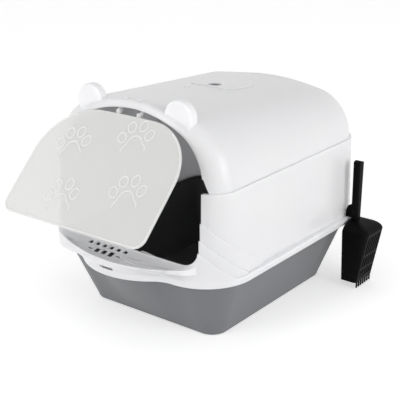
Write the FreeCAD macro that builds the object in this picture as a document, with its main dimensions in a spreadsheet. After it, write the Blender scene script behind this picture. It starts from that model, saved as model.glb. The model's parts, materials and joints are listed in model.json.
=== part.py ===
"""Covered cat litter box: a flared base tray, a lift-out litter pan, a domed hood
with two ears, a swinging see-through flap, a lift-off filter cover and a hanging scoop.

Millimetres. X is to the right, Y to the back, Z up. The front faces -Y and the origin
lies on the floor, below the middle of the rim's sides and under the flap's centre plane.
"""
import FreeCAD, Part
import math
import os
import re
import Sketcher

doc = FreeCAD.newDocument("litter_box_enclosure")
sheet = doc.addObject("Spreadsheet::Sheet", "sizes")

SIZES = [
    # plan of the hood's rim, which the tray, the pan and the band all follow
    ("rim_half_width", 200, "middle to the rim's side"),
    ("rim_front", 304, "origin to the straight part of the rim's front"),
    ("rim_rear", 188, "origin to the rim's rear"),
    ("front_corner", 90, "radius of the rim's front corners"),
    ("rear_corner", 75, "radius of the rim's rear corners"),
    ("lip_reach", 38, "how far the entry lip bulges forward of the rim's front"),
    ("lip_hollow", 55, "radius of the hollow on each side of the lip"),
    # base tray
    ("floor_half_width", 143, "middle to the side of the tray's floor"),
    ("floor_front", 230, "origin to the front of the tray's floor"),
    ("floor_rear", 122, "origin to the rear of the tray's floor"),
    ("floor_corner", 30, "corner radius of the tray's floor"),
    ("tray_inset", 16, "rim to the top of the tray's wall"),
    ("tray_wall", 3.2, "thickness of the tray's wall"),
    ("tray_floor", 3, "thickness of the tray's floor"),
    ("tray_edge_round", 5, "rounding of the tray's lower edge"),
    ("flange_inset", 6, "rim to the outer edge of the tray's flange"),
    ("flange_thickness", 2.5, "thickness of the tray's flange"),
    ("nib_half_width", 12, "half the width of the catch nib behind the lip's slot"),
    ("nib_play", 0.4, "clearance behind and above the catch nib"),
    ("nib_front_play", 0.9, "clearance between the catch nib and the curved lip"),
    # litter pan
    ("pan_gap", 1.2, "gap between the tray's wall and the pan's"),
    ("pan_wall", 2, "thickness of the pan"),
    ("pan_flange", 2, "thickness of the pan's flange"),
    ("pan_flange_inset", 7, "rim to the outer edge of the pan's flange"),
    ("splash_front", 18, "height of the pan's splash wall above its flange at the front"),
    ("splash_rear", 1, "height of the splash wall at the rear"),
    # hood: band and side wall
    ("rim_height", 120, "floor to the hood's lower edge"),
    ("seat_height", 6, "hood's lower edge to the pan's flange that carries it"),
    ("band_height", 11, "height of the band round the hood's lower edge"),
    ("band_step", 9, "band's outer face to the wall above it"),
    ("hood_wall", 2.5, "thickness of the hood"),
    ("ledge_height", 278, "floor to the ledge between wall and crown"),
    ("ledge_step", 5, "width of the ledge"),
    ("lean_side", 3, "how far each side wall leans in"),
    ("lean_front", 9, "how far the front wall leans in"),
    ("lean_rear", 3, "how far the rear wall leans in"),
    ("wall_corner_front", 48, "front corner radius of the wall at the ledge"),
    ("wall_corner_rear", 66, "rear corner radius of the wall at the ledge"),
    # hood: crown
    ("crown_front_rise", 125, "ledge to the crown's top at the front"),
    ("crown_rear_rise", 90, "ledge to the crown's top at the rear"),
    ("shoulder_front", 112, "radius of the crown's shoulders at the front"),
    ("shoulder_rear", 80, "radius of the crown's shoulders at the rear"),
    ("shoulder_start", 5, "ledge to where the shoulders start"),
    ("crown_front_lean", 5, "backward lean of the crown's front, degrees"),
    ("crown_rear_lean", 5, "forward lean of the crown's rear, degrees"),
    ("nose_round_side", 42, "rounding of the crown's front at the sides"),
    ("nose_round_top", 8, "rounding of the crown's front at the top"),
    ("tail_round_side", 62, "rounding of the crown's rear at the sides"),
    ("tail_round_top", 26, "rounding of the crown's rear at the top"),
    # entry
    ("entry_inset", 47, "rim's side to the entry's side"),
    ("arch_step", 1, "entry's side to the side of the arch above it"),
    ("sill_rise", 38, "rim to the entry's sill"),
    ("spring_rise", 3, "ledge to the start of the arch's shoulders"),
    ("entry_depth", 69, "rim's front to the back of the space kept clear for the entry"),
    ("arch_margin", 14, "crown's top to the top of the entry's arch"),
    ("entry_shoulder", 95, "radius of the arch's shoulders"),
    ("entry_corner", 24, "radius of the entry's lower corners"),
    ("arch_foot", 10, "how far the arch widens down to the ledge on each side"),
    ("arch_foot_height", 22, "height of the arch's widened foot"),
    ("lip_rise", 26, "rim to the front edge of the lip"),
    ("lip_slope", 15, "rise of the footplate towards the sill, degrees"),
    ("lip_rear", 34, "rim's front to the back of the block that the lip is cut from"),
    ("lip_corner", 30, "radius of the lip's upper corners"),
    ("lip_corner_back", 57, "lip's front to the start of its upper corners"),
    ("lip_edge", 3, "width of the raised edge round the footplate"),
    ("footplate_side", 20, "entry's side to the footplate's side"),
    ("footplate_corner", 14, "radius of the footplate's front corners"),
    ("footplate_corner_back", 38, "footplate's front to the start of its corners"),
    ("footplate_drop", 2.5, "depth of the footplate below the lip's edge"),
    ("footplate_thickness", 1.2, "thickness of the footplate"),
    ("footplate_inset", 14, "rim's front to the footplate's back edge"),
    ("footplate_gap", 8, "footplate's back edge to the back of the opening under it"),
    ("hole_width", 9.5, "width of a litter hole"),
    ("hole_length", 10, "front to back size of a litter hole"),
    ("hole_short", 3.5, "front to back size of the end holes in the lower row"),
    ("hole_long", 12, "front to back size of the longest hole"),
    ("hole_pitch", 15.5, "spacing of the litter holes"),
    ("hole_first", -62, "middle to the first hole of the upper row"),
    ("hole_inset", 33, "lip's front to the upper row of holes"),
    ("hole_row_pitch", 13, "upper row of holes to the lower row"),
    ("catch_slot_width", 30, "width of the catch slot in the lip"),
    ("catch_slot_height", 4, "height of the catch slot"),
    ("catch_slot_rise", 13, "rim to the middle of the catch slot"),
    # whisker steps
    ("whisker_step", 3, "how far each whisker step stands out from the one above"),
    ("whisker_high_drop", 43, "ledge to the top whisker step at the entry's edge"),
    ("whisker_middle_drop", 73, "ledge to the middle whisker step at the entry's edge"),
    ("whisker_low_drop", 95, "ledge to the bottom whisker step at the entry's edge"),
    ("whisker_slope", 39, "fall of the whisker steps round the corner, degrees"),
    ("whisker_reach", 120, "length of a whisker step on each side of the entry's edge"),
    # ears
    ("ear_offset", 94, "middle to the ear's centre"),
    ("ear_sink", 16, "crown's top to the ear's centre"),
    ("ear_radius", 28, "radius of an ear"),
    ("ear_thickness", 15, "thickness of an ear"),
    ("ear_inset", 13, "crown's front to the ear's front face"),
    ("ear_round", 4, "rounding of the ear's front edge"),
    ("ear_slope", 4, "width of the slope into the ear's dish"),
    ("ear_dish", 1, "depth of the ear's dish"),
    # flap and its bracket
    ("hinge_inset", 7, "crown's front to the flap's hinge axis"),
    ("hinge_drop", 8, "top of the entry's arch to the flap's hinge axis"),
    ("flap_side_gap", 2, "gap between the flap and the arch's side"),
    ("flap_sill_gap", 8, "gap between the hanging flap and the sill"),
    ("flap_top", 4.6, "hinge axis to the flap's upper edge"),
    ("flap_spring", 102, "hinge axis to the start of the flap's shoulders"),
    ("flap_shoulder", 97, "radius of the flap's shoulders"),
    ("flap_corner", 20, "radius of the flap's lower corners"),
    ("flap_thickness", 2.4, "thickness of the flap"),
    ("flap_open", 45, "how far the flap is swung out, degrees"),
    ("pin_radius", 2, "radius of the flap's hinge pins"),
    ("pin_play", 0.06, "radial play of a hinge pin in its arm"),
    ("lug_radius", 3.4, "radius of the flap's hinge lugs"),
    ("arm_eye", 3.4, "outer radius of a bracket arm's eye"),
    ("lug_width", 4, "width of a hinge lug"),
    ("arm_spacing", 24, "middle to the middle of a bracket arm"),
    ("arm_thickness", 3, "thickness of a bracket arm"),
    ("arm_play", 0.4, "side play between a lug and its arm"),
    ("bracket_inset", 12, "crown's front to the bracket's front"),
    ("bracket_depth", 12, "front to back size of the bracket"),
    ("bracket_rise", 7, "hinge axis to the bracket's underside"),
    ("arm_setback", 1.5, "bracket's front to the front of an arm's root"),
    ("arm_root", 6, "bracket's underside to the top of an arm's root"),
    ("arm_dip", 0.6, "bracket's underside down to the top of an arm's front"),
    ("peg_spacing", 14, "middle to a bracket's snap peg"),
    ("peg_inset", 18, "crown's front to the snap pegs"),
    ("peg_head_height", 2, "height of a snap peg's head above the crown"),
    ("peg_radius", 3, "radius of a snap peg"),
    ("peg_head", 4.4, "radius of a snap peg's head"),
    ("peg_play", 0.3, "clearance round a snap peg"),
    # filter cover and filter
    ("cover_centre", 22, "origin to the middle of the filter cover"),
    ("cover_half_width", 47, "half the width of the filter cover"),
    ("cover_half_length", 42, "half the length of the filter cover"),
    ("cover_corner", 18, "corner radius of the filter cover"),
    ("cover_gap", 0.8, "gap round the filter cover"),
    ("cover_rise", 1.5, "crown to the filter cover's raised top"),
    ("cover_thickness", 3.2, "thickness of the filter cover"),
    ("cover_seat", 0.3, "clearance between the filter cover and its ledge"),
    ("cover_ledge", 4, "width of the ledge that carries the cover"),
    ("nub_offset", 20, "middle to the nub on the crown"),
    ("nub_forward", 98, "origin to the nub on the crown"),
    ("nub_radius", 6, "radius of the nub on the crown"),
    ("nub_rise", 1.2, "height of the nub above the crown"),
    ("finger_hole", 13, "radius of the cover's finger hole"),
    ("finger_hole_forward", 22, "cover's middle to the finger hole's"),
    ("filter_thickness", 8, "thickness of the carbon filter"),
    ("filter_play", 1.5, "gap between the filter and its well"),
    ("well_wall", 2, "thickness of the filter well"),
    ("well_depth", 20, "crown to the filter well's floor"),
    ("vent_length", 60, "length of a vent slot"),
    ("vent_width", 4, "width of a vent slot in the well's floor"),
    ("vent_pitch", 10, "spacing of the vent slots"),
    # scoop
    ("scoop_middle", 115, "origin to the scoop's middle plane"),
    ("scoop_gap", 5, "rim to the scoop"),
    ("scoop_depth", 50, "open side of the scoop's pan to its slotted wall"),
    ("scoop_half_width", 37, "half the width of the scoop's pan"),
    ("scoop_tip_half_width", 31, "half the width of the pan at its tip"),
    ("scoop_tip_depth", 31, "depth of the pan at its tip"),
    ("hook_height", 128, "ends of the tines to the underside of the scoop's hook"),
    ("scoop_pan_height", 98, "tip of the scoop's pan to its shoulders"),
    ("neck_height", 18, "shoulders of the scoop's pan to the neck"),
    ("scoop_length", 240, "ends of the tines to the end of the handle"),
    ("slot_low_rise", 6, "tip of the scoop's pan to its lowest cross bar"),
    ("slot_middle_rise", 27, "tip of the scoop's pan to its second cross bar"),
    ("slot_high_rise", 54, "tip of the scoop's pan to its third cross bar"),
    ("slot_top_drop", 3, "shoulders of the scoop's pan to the top of its slots"),
    ("slot_bar", 5, "height of a cross bar"),
    ("tine_root", 6, "overlap of a tine with the pan's wall"),
    ("handle_root", 14, "overlap of the handle with the neck"),
    ("scoop_wall", 2.2, "thickness of the scoop's pan"),
    ("scoop_corner", 12, "corner radius of the pan at its shoulders"),
    ("scoop_tip_corner", 5, "corner radius of the pan at its tip"),
    ("handle_width", 22, "width of the handle"),
    ("handle_round", 5.5, "rounding of the handle's long edges"),
    ("neck_corner", 5, "corner radius of the pan's neck"),
    ("handle_thickness", 14, "thickness of the handle"),
    ("neck_width", 17, "width of the handle at the neck"),
    ("tine_count", 7, "number of tines"),
    ("tine_width", 3.2, "width of a tine"),
    ("tine_length", 11, "length of a tine past the pan's tip"),
    ("hook_thickness", 4, "thickness of the scoop's hook"),
    ("hook_rise", 27, "height of the scoop's hook above the band"),
    ("hook_gap", 1, "hood's wall to the inner end of the scoop's hook"),
    ("hook_tip_width", 3.6, "width of the hook's tip"),
    ("hook_tip", 3.4, "how far the hook's tip drops into the band"),
    ("hook_play", 0.4, "clearance round the hook's tip"),
]
NAMES = {alias for alias, value, note in SIZES}
for row, (alias, value, note) in enumerate(SIZES, 1):
    sheet.set(f"A{row}", alias)
    sheet.set(f"B{row}", str(value))
    sheet.set(f"C{row}", note)
    sheet.setAlias(f"B{row}", alias)
doc.recompute()


# Places and sizes that follow from the sheet
DERIVED = {
    "crown_front": "rim_front - band_step - lean_front - ledge_step",
    "entry_half_width": "rim_half_width - entry_inset",
    "entry_arch_half_width": "entry_half_width - arch_step",
    "entry_sill": "rim_height + sill_rise",
    "entry_spring": "ledge_height + spring_rise",
    "entry_back": "rim_front - entry_depth",
    "entry_top": "ledge_height + crown_front_rise - arch_margin",
    "lip_height": "rim_height + lip_rise",
    "lip_back": "rim_front - lip_rear",
    "footplate_half_width": "entry_half_width - footplate_side",
    "footplate_back": "rim_front - footplate_inset",
    "footplate_rear_gap": "footplate_back - footplate_gap",
    "hole_row": "rim_front + lip_reach - hole_inset",
    "catch_slot_level": "rim_height + catch_slot_rise",
    "whisker_high": "ledge_height - whisker_high_drop",
    "whisker_middle": "ledge_height - whisker_middle_drop",
    "whisker_low": "ledge_height - whisker_low_drop",
    "ear_height": "ledge_height + crown_front_rise - ear_sink",
    "ear_front": "crown_front - ear_inset",
    "hinge_back": "crown_front - hinge_inset",
    "hinge_height": "entry_top - hinge_drop",
    "flap_half_width": "entry_arch_half_width - flap_side_gap",
    "flap_length": "hinge_height - entry_sill - flap_sill_gap",
    "bracket_front": "crown_front - bracket_inset",
    "bracket_low": "hinge_height + bracket_rise",
    "peg_back": "crown_front - peg_inset",
    "scoop_foot": "rim_height + band_height - hook_height",
    "scoop_tip": "scoop_foot + tine_length",
    "scoop_shoulder": "scoop_tip + scoop_pan_height",
    "scoop_neck": "scoop_shoulder + neck_height",
    "scoop_top": "scoop_foot + scoop_length",
    "slot_low": "scoop_tip + slot_low_rise",
    "slot_middle": "scoop_tip + slot_middle_rise",
    "slot_high": "scoop_tip + slot_high_rise",
    "slot_top": "scoop_shoulder - slot_top_drop",
    "hook_reach": "rim_half_width - band_step + hook_gap",
}


def spell_out(match):
    """A word of a formula: a derived size in brackets, a cell of the sheet, or the word as it is."""
    word = match.group()
    if word in DERIVED:
        return "(" + formula(DERIVED[word]) + ")"
    return "sizes." + word if word in NAMES else word


def formula(text):
    """Point each size named in a formula at the sheet."""
    return re.sub(r"[a-z_]+", spell_out, text)


def number(text):
    """Value of a formula, used to draw a shape near its final place."""
    value = doc.sizes.evalExpression(formula(str(text)))
    return float(getattr(value, "Value", value))


# Drawing helpers

LEVEL = FreeCAD.Rotation()
UPRIGHT = FreeCAD.Rotation(FreeCAD.Vector(1, 0, 0), 90)
SIDEWAYS = FreeCAD.Rotation(FreeCAD.Vector(1, 1, 1), 120)


class Drawing:
    """A sketch whose every dimension is bound to the sheet."""

    def __init__(self, name, rotation=LEVEL, body=None):
        if body is None:
            self.sketch = doc.addObject("Sketcher::SketchObject", name)
            self.sketch.Placement.Rotation = rotation
        else:
            self.sketch = body.newObject("Sketcher::SketchObject", name)

    def place(self, axis, text):
        self.sketch.setExpression("Placement.Base." + axis, formula(text))

    def line(self, start, end):
        segment = Part.LineSegment(FreeCAD.Vector(*start, 0), FreeCAD.Vector(*end, 0))
        return self.sketch.addGeometry(segment, False)

    def arc(self, centre, radius, start, end):
        circle = Part.Circle(FreeCAD.Vector(*centre, 0), FreeCAD.Vector(0, 0, 1), radius)
        piece = Part.ArcOfCircle(circle, math.radians(start), math.radians(end))
        return self.sketch.addGeometry(piece, False)

    def circle(self, x, y, radius):
        ring = Part.Circle(FreeCAD.Vector(number(x), number(y), 0), FreeCAD.Vector(0, 0, 1), number(radius))
        shape = self.sketch.addGeometry(ring, False)
        self.size("Radius", radius, shape)
        self.at(shape, 3, x, y)

    def rule(self, kind, *refs):
        self.sketch.addConstraint(Sketcher.Constraint(kind, *refs))

    def size(self, kind, text, *refs):
        index = self.sketch.addConstraint(Sketcher.Constraint(kind, *refs, number(text)))
        self.sketch.setExpression(f"Constraints[{index}]", formula(str(text)))

    def at(self, shape, point, x=None, y=None):
        """Set a point's distances from the sketch's origin."""
        if x is not None:
            self.size("DistanceX", x, -1, 1, shape, point)
        if y is not None:
            self.size("DistanceY", y, -1, 1, shape, point)

    def polygon(self, corners):
        """Closed polygon through corners given as pairs of formulas."""
        points = [(number(x), number(y)) for x, y in corners]
        sides = [self.line(a, b) for a, b in zip(points, points[1:] + points[:1])]
        for one, other in zip(sides, sides[1:] + sides[:1]):
            self.rule("Coincident", one, 2, other, 1)
        for side, (x, y) in zip(sides, corners):
            self.at(side, 1, x, y)

    def rounded_box(self, half_width, low, high, low_radius, high_radius):
        """Rounded rectangle from low to high, even about the sketch's upright axis."""
        w, a, b = number(half_width), number(low), number(high)
        r, q = number(low_radius), number(high_radius)
        right = self.line((w, a + r), (w, b - q))
        high_right = self.arc((w - q, b - q), q, 0, 90)
        top = self.line((w - q, b), (q - w, b))
        high_left = self.arc((q - w, b - q), q, 90, 180)
        left = self.line((-w, b - q), (-w, a + r))
        low_left = self.arc((r - w, a + r), r, 180, 270)
        bottom = self.line((r - w, a), (w - r, a))
        low_right = self.arc((w - r, a + r), r, 270, 360)
        chain = [right, high_right, top, high_left, left, low_left, bottom, low_right]
        for one, other in zip(chain, chain[1:] + chain[:1]):
            self.rule("Tangent", one, 2, other, 1)
        for side in (right, left):
            self.rule("Vertical", side)
        for side in (top, bottom):
            self.rule("Horizontal", side)
        for radius, corners in ((high_radius, (high_right, high_left)), (low_radius, (low_left, low_right))):
            for corner in corners:
                self.size("Radius", radius, corner)
        self.at(right, 1, x=half_width)
        self.at(left, 1, x=f"-({half_width})")
        self.at(top, 1, y=high)
        self.at(bottom, 1, y=low)

    def arch(self, half_width, base, start, rise, shoulder):
        """Arch on a flat base: upright sides up to start, round shoulders and a bowed top."""
        w, b, s = number(half_width), number(base), number(start)
        r, h = number(shoulder), number(rise)
        bow = (f"((({half_width}) - ({shoulder})) ^ 2 + (({rise}) - ({start})) ^ 2 - ({shoulder}) ^ 2)"
               f" / (2 * (({rise}) - ({start}) - ({shoulder})))")
        big = number(bow)
        turn = math.degrees(math.atan2(w - r, s - (h - big)))
        bottom = self.line((-w, b), (w, b))
        right = self.line((w, b), (w, s))
        right_shoulder = self.arc((w - r, s), r, 0, 90 - turn)
        top = self.arc((0, h - big), big, 90 - turn, 90 + turn)
        left_shoulder = self.arc((r - w, s), r, 90 + turn, 180)
        left = self.line((-w, s), (-w, b))
        self.rule("Coincident", bottom, 2, right, 1)
        self.rule("Coincident", left, 2, bottom, 1)
        chain = [right, right_shoulder, top, left_shoulder, left]
        for one, other in zip(chain, chain[1:]):
            self.rule("Tangent", one, 2, other, 1)
        self.rule("Horizontal", bottom)
        self.rule("Vertical", right)
        self.rule("Vertical", left)
        self.at(bottom, 2, half_width, base)
        self.at(bottom, 1, x=f"-({half_width})")
        self.at(right, 2, y=start)
        self.at(left, 1, y=start)
        self.size("Radius", shoulder, right_shoulder)
        self.size("Radius", shoulder, left_shoulder)
        self.size("Radius", bow, top)


def revolution(name, sketch, x, y, z):
    """Turn a half section about the Y axis through a point."""
    sketch.setExpression("Placement.Base.x", formula(x))
    sketch.setExpression("Placement.Base.y", formula(y))
    sketch.setExpression("Placement.Base.z", formula(z))
    shape = doc.addObject("Part::Revolution", name)
    shape.Source = sketch
    shape.Axis = FreeCAD.Vector(0, 1, 0)
    for axis, text in zip("xyz", (x, y, z)):
        shape.setExpression("Base." + axis, formula(text))
    shape.Angle = 360
    shape.Solid = True
    return shape


LIP_RUN = "(rim_half_width - front_corner)"
LIP_BOW = f"((lip_reach ^ 2 + {LIP_RUN} ^ 2) / (2 * lip_reach) - lip_hollow)"


def rim_plan(name, level, inset):
    """The rim's outline, lip included, drawn in by inset and laid at a level."""
    d = Drawing(name)
    d.place("z", level)
    w, f, b = (number(f"{side} - ({inset})") for side in ("rim_half_width", "rim_front", "rim_rear"))
    r, q = number(f"front_corner - ({inset})"), number(f"rear_corner - ({inset})")
    run = number(LIP_RUN)
    hollow, bow = number(f"lip_hollow + ({inset})"), number(f"{LIP_BOW} - ({inset})")
    reach = number("lip_reach")
    turn = math.degrees(math.asin(run / (hollow + bow)))
    right = d.line((w, r - f), (w, b - q))
    rear_right = d.arc((w - q, b - q), q, 0, 90)
    rear = d.line((w - q, b), (q - w, b))
    rear_left = d.arc((q - w, b - q), q, 90, 180)
    left = d.line((-w, b - q), (-w, r - f))
    front_left = d.arc((r - w, r - f), r, 180, 270)
    hollow_left = d.arc((-run, -f - hollow), hollow, 90 - turn, 90)
    lip = d.arc((0, bow - f - reach), bow, 270 - turn, 270 + turn)
    hollow_right = d.arc((run, -f - hollow), hollow, 90, 90 + turn)
    front_right = d.arc((w - r, r - f), r, 270, 360)
    d.rule("Tangent", right, 2, rear_right, 1)
    d.rule("Tangent", rear_right, 2, rear, 1)
    d.rule("Tangent", rear, 2, rear_left, 1)
    d.rule("Tangent", rear_left, 2, left, 1)
    d.rule("Tangent", left, 2, front_left, 1)
    d.rule("Tangent", front_left, 2, hollow_left, 2)
    d.rule("Tangent", hollow_left, 1, lip, 1)
    d.rule("Tangent", lip, 2, hollow_right, 2)
    d.rule("Tangent", hollow_right, 1, front_right, 1)
    d.rule("Tangent", front_right, 2, right, 1)
    d.rule("Vertical", right)
    d.rule("Vertical", left)
    d.rule("Horizontal", rear)
    d.rule("Vertical", front_right, 3, front_right, 1)
    d.rule("Vertical", front_left, 3, front_left, 2)
    d.at(right, 1, x=f"rim_half_width - ({inset})")
    d.at(left, 1, x=f"({inset}) - rim_half_width")
    d.at(rear, 1, y=f"rim_rear - ({inset})")
    d.at(front_right, 1, y=f"({inset}) - rim_front")
    d.at(front_left, 2, y=f"({inset}) - rim_front")
    rear_corners, front_corners = (rear_right, rear_left), (front_right, front_left)
    for radius, corners in (("rear_corner", rear_corners), ("front_corner", front_corners)):
        for corner in corners:
            d.size("Radius", f"{radius} - ({inset})", corner)
    for side in (hollow_right, hollow_left):
        d.size("Radius", f"lip_hollow + ({inset})", side)
    d.size("Radius", f"{LIP_BOW} - ({inset})", lip)
    return d.sketch


def plain_plan(name, level, half_width, front, rear, front_radius, rear_radius):
    """Rounded rectangle laid at a level, without the lip."""
    d = Drawing(name)
    d.place("z", level)
    d.rounded_box(half_width, f"-({front})", rear, front_radius, rear_radius)
    return d.sketch


def loft(name, *sections, ruled=False):
    shape = doc.addObject("Part::Loft", name)
    shape.Sections = list(sections)
    shape.Solid = True
    shape.Ruled = ruled
    return shape


def extrusion(name, sketch, axis, text):
    """Push a sketch along an axis by a length."""
    shape = doc.addObject("Part::Extrusion", name)
    shape.Base = sketch
    shape.DirMode = "Custom"
    shape.Dir = FreeCAD.Vector(*axis)
    shape.Solid = True
    shape.setExpression("LengthFwd", formula(text))
    return shape


def fuse(name, *shapes):
    whole = doc.addObject("Part::MultiFuse", name)
    whole.Shapes = list(shapes)
    return whole


def common(name, *shapes):
    shared = doc.addObject("Part::MultiCommon", name)
    shared.Shapes = list(shapes)
    return shared


def cut(name, base, tool):
    rest = doc.addObject("Part::Cut", name)
    rest.Base = base
    rest.Tool = tool
    return rest


def box(name, x, y, z):
    """Box between pairs of formulas for each axis."""
    block = doc.addObject("Part::Box", name)
    for axis, side, (low, high) in zip("xyz", ("Length", "Width", "Height"), (x, y, z)):
        block.setExpression("Placement.Base." + axis, formula(low))
        block.setExpression(side, formula(f"({high}) - ({low})"))
    return block


def cylinder(name, radius, length, direction, x, y, z):
    """Cylinder that starts at a point and runs along a direction."""
    rod = doc.addObject("Part::Cylinder", name)
    rod.setExpression("Radius", formula(radius))
    rod.setExpression("Height", formula(length))
    rod.Placement.Rotation = FreeCAD.Rotation(FreeCAD.Vector(0, 0, 1), FreeCAD.Vector(*direction))
    for axis, text in zip("xyz", (x, y, z)):
        rod.setExpression("Placement.Base." + axis, formula(text))
    return rod


def name_piece(shape, label):
    shape.Label = label
    PIECES.append(shape)
    return shape


PIECES = []


# Base tray: flared wall, flat floor and a flange that carries the pan

SEAT = "(rim_height + seat_height)"
FLANGE_TOP = f"({SEAT} - pan_flange)"

tray_top = rim_plan("tray_top_plan", FLANGE_TOP, "tray_inset")


def floor_plan(name, level, inset):
    """The tray floor's outline, its front edge split where the lip's arcs meet above it."""
    d = Drawing(name)
    d.place("z", level)
    w, f, b, r = (number(f"{side} - ({inset})") for side in
                  ("floor_half_width", "floor_front", "floor_rear", "floor_corner"))
    joint = "(floor_half_width - floor_corner) / 2"
    x = number(joint)
    right = d.line((w, r - f), (w, b - r))
    rear_right = d.arc((w - r, b - r), r, 0, 90)
    rear = d.line((w - r, b), (r - w, b))
    rear_left = d.arc((r - w, b - r), r, 90, 180)
    left = d.line((-w, b - r), (-w, r - f))
    front_left = d.arc((r - w, r - f), r, 180, 270)
    front_a = d.line((r - w, -f), (-x, -f))
    front_b = d.line((-x, -f), (x, -f))
    front_c = d.line((x, -f), (w - r, -f))
    front_right = d.arc((w - r, r - f), r, 270, 360)
    chain = [right, rear_right, rear, rear_left, left, front_left, front_a]
    for one, other in zip(chain, chain[1:]):
        d.rule("Tangent", one, 2, other, 1)
    d.rule("Coincident", front_a, 2, front_b, 1)
    d.rule("Coincident", front_b, 2, front_c, 1)
    d.rule("Tangent", front_c, 2, front_right, 1)
    d.rule("Tangent", front_right, 2, right, 1)
    for side in (right, left):
        d.rule("Vertical", side)
    for side in (rear, front_a, front_b, front_c):
        d.rule("Horizontal", side)
    for corner in (rear_right, rear_left, front_left, front_right):
        d.size("Radius", f"floor_corner - ({inset})", corner)
    d.at(right, 1, x=f"floor_half_width - ({inset})")
    d.at(left, 1, x=f"({inset}) - floor_half_width")
    d.at(rear, 1, y=f"floor_rear - ({inset})")
    d.at(front_b, 1, f"-{joint}", f"({inset}) - floor_front")
    d.at(front_b, 2, x=joint)
    return d.sketch


def flare(name, low_level, low_inset, high_level, high_inset):
    """Flared block between two levels of the tray, drawn in from the floor and the rim."""
    low = floor_plan(name + "_floor_plan", low_level, low_inset)
    high = rim_plan(name + "_top_plan", high_level, high_inset)
    return loft(name, low, high)


tray_block = flare("tray_block", "tray_edge_round", "0", FLANGE_TOP, "tray_inset")
tray_foot = loft("tray_foot", floor_plan("tray_foot_low", "0", "tray_edge_round"),
                 floor_plan("tray_foot_middle", "tray_edge_round * 0.3", "tray_edge_round * 0.3"),
                 floor_plan("tray_foot_high", "tray_edge_round", "0"))
tray_rim = extrusion("tray_rim", rim_plan("tray_flange_plan", f"{FLANGE_TOP} - flange_thickness",
                                          "flange_inset"),
                     (0, 0, 1), "flange_thickness")
tray_hollow = flare("tray_hollow", "tray_floor", "tray_wall", f"{FLANGE_TOP} + 1", "tray_inset + tray_wall")
LIP_END = "(rim_front + lip_reach)"
NIB_FRONT = f"({LIP_END} - hood_wall - nib_front_play)"
nib = box("catch_nib", ("-nib_half_width", "nib_half_width"),
          (f"-{NIB_FRONT}", f"-{LIP_END} + pan_flange_inset - nib_play"),
          (f"{FLANGE_TOP} - flange_thickness", "catch_slot_level + catch_slot_height / 2 - nib_play"))
tray_shell = cut("tray_shell", fuse("tray_outside", tray_foot, tray_block, tray_rim, nib), tray_hollow)
name_piece(tray_shell, "base_tray")

# Litter pan: nests in the tray, hangs by its flange and rises as a splash wall inside the hood

PAN_IN = "(tray_wall + pan_gap)"
pan_block = flare("pan_block", "tray_floor + pan_gap", PAN_IN, SEAT, f"tray_inset + {PAN_IN}")
pan_rim = extrusion("pan_rim", rim_plan("pan_flange_plan", FLANGE_TOP, "pan_flange_inset"), (0, 0, 1),
                    "pan_flange")
splash_block = extrusion("splash_block", rim_plan("pan_splash_plan", SEAT, f"tray_inset + {PAN_IN}"),
                         (0, 0, 1), "splash_front * 2")
splash_profile = Drawing("splash_profile", SIDEWAYS)
splash_profile.polygon([("-rim_front", SEAT), ("rim_rear", SEAT), ("rim_rear", f"{SEAT} + splash_rear"),
                        ("-rim_front", f"{SEAT} + splash_front"), (f"-{LIP_END}", f"{SEAT} + splash_front"),
                        (f"-{LIP_END}", SEAT)])
splash_profile.place("x", "-rim_half_width")
splash_slope = extrusion("splash_slope", splash_profile.sketch, (1, 0, 0), "2 * rim_half_width")
pan_splash = common("pan_splash", splash_block, splash_slope)
pan_hollow = flare("pan_hollow", "tray_floor + pan_gap + pan_wall", f"{PAN_IN} + pan_wall",
                   SEAT, f"tray_inset + {PAN_IN} + pan_wall")
splash_hollow = extrusion("splash_hollow", rim_plan("splash_hollow_plan", SEAT,
                                                    f"tray_inset + {PAN_IN} + pan_wall"),
                          (0, 0, 1), "splash_front * 2")
pan_shell = cut("pan_shell", fuse("pan_outside", pan_block, pan_rim, pan_splash),
                fuse("pan_inside", pan_hollow, splash_hollow))
name_piece(pan_shell, "litter_pan")

# Hood: a wall that leans in to a ledge, a domed crown above it and a band round its lower edge

WALL_HALF = "(rim_half_width - band_step)"
WALL_FRONT = "(rim_front - band_step)"
WALL_REAR = "(rim_rear - band_step)"
LEDGE_HALF = f"({WALL_HALF} - lean_side)"
LEDGE_FRONT = f"({WALL_FRONT} - lean_front)"
LEDGE_REAR = f"({WALL_REAR} - lean_rear)"
CROWN_HALF = f"({LEDGE_HALF} - ledge_step)"
CROWN_FRONT = f"({LEDGE_FRONT} - ledge_step)"
CROWN_REAR = f"({LEDGE_REAR} - ledge_step)"


def wall(name, low_level, high_level, inset):
    """Block inside the hood's wall, drawn in by inset."""
    low = plain_plan(name + "_low_plan", low_level, f"{WALL_HALF} - ({inset})", f"{WALL_FRONT} - ({inset})",
                     f"{WALL_REAR} - ({inset})", f"front_corner - band_step - ({inset})",
                     f"rear_corner - band_step - ({inset})")
    high = plain_plan(name + "_high_plan", high_level, f"{LEDGE_HALF} - ({inset})",
                      f"{LEDGE_FRONT} - ({inset})", f"{LEDGE_REAR} - ({inset})",
                      f"wall_corner_front - ({inset})", f"wall_corner_rear - ({inset})")
    return loft(name, low, high)


def crown_level(forward):
    """Height of the crown's top at a distance forward of the origin."""
    return (f"(ledge_height + crown_front_rise + (crown_rear_rise - crown_front_rise)"
            f" * ({CROWN_FRONT} - ({forward})) / ({CROWN_FRONT} + {CROWN_REAR}))")


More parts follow.
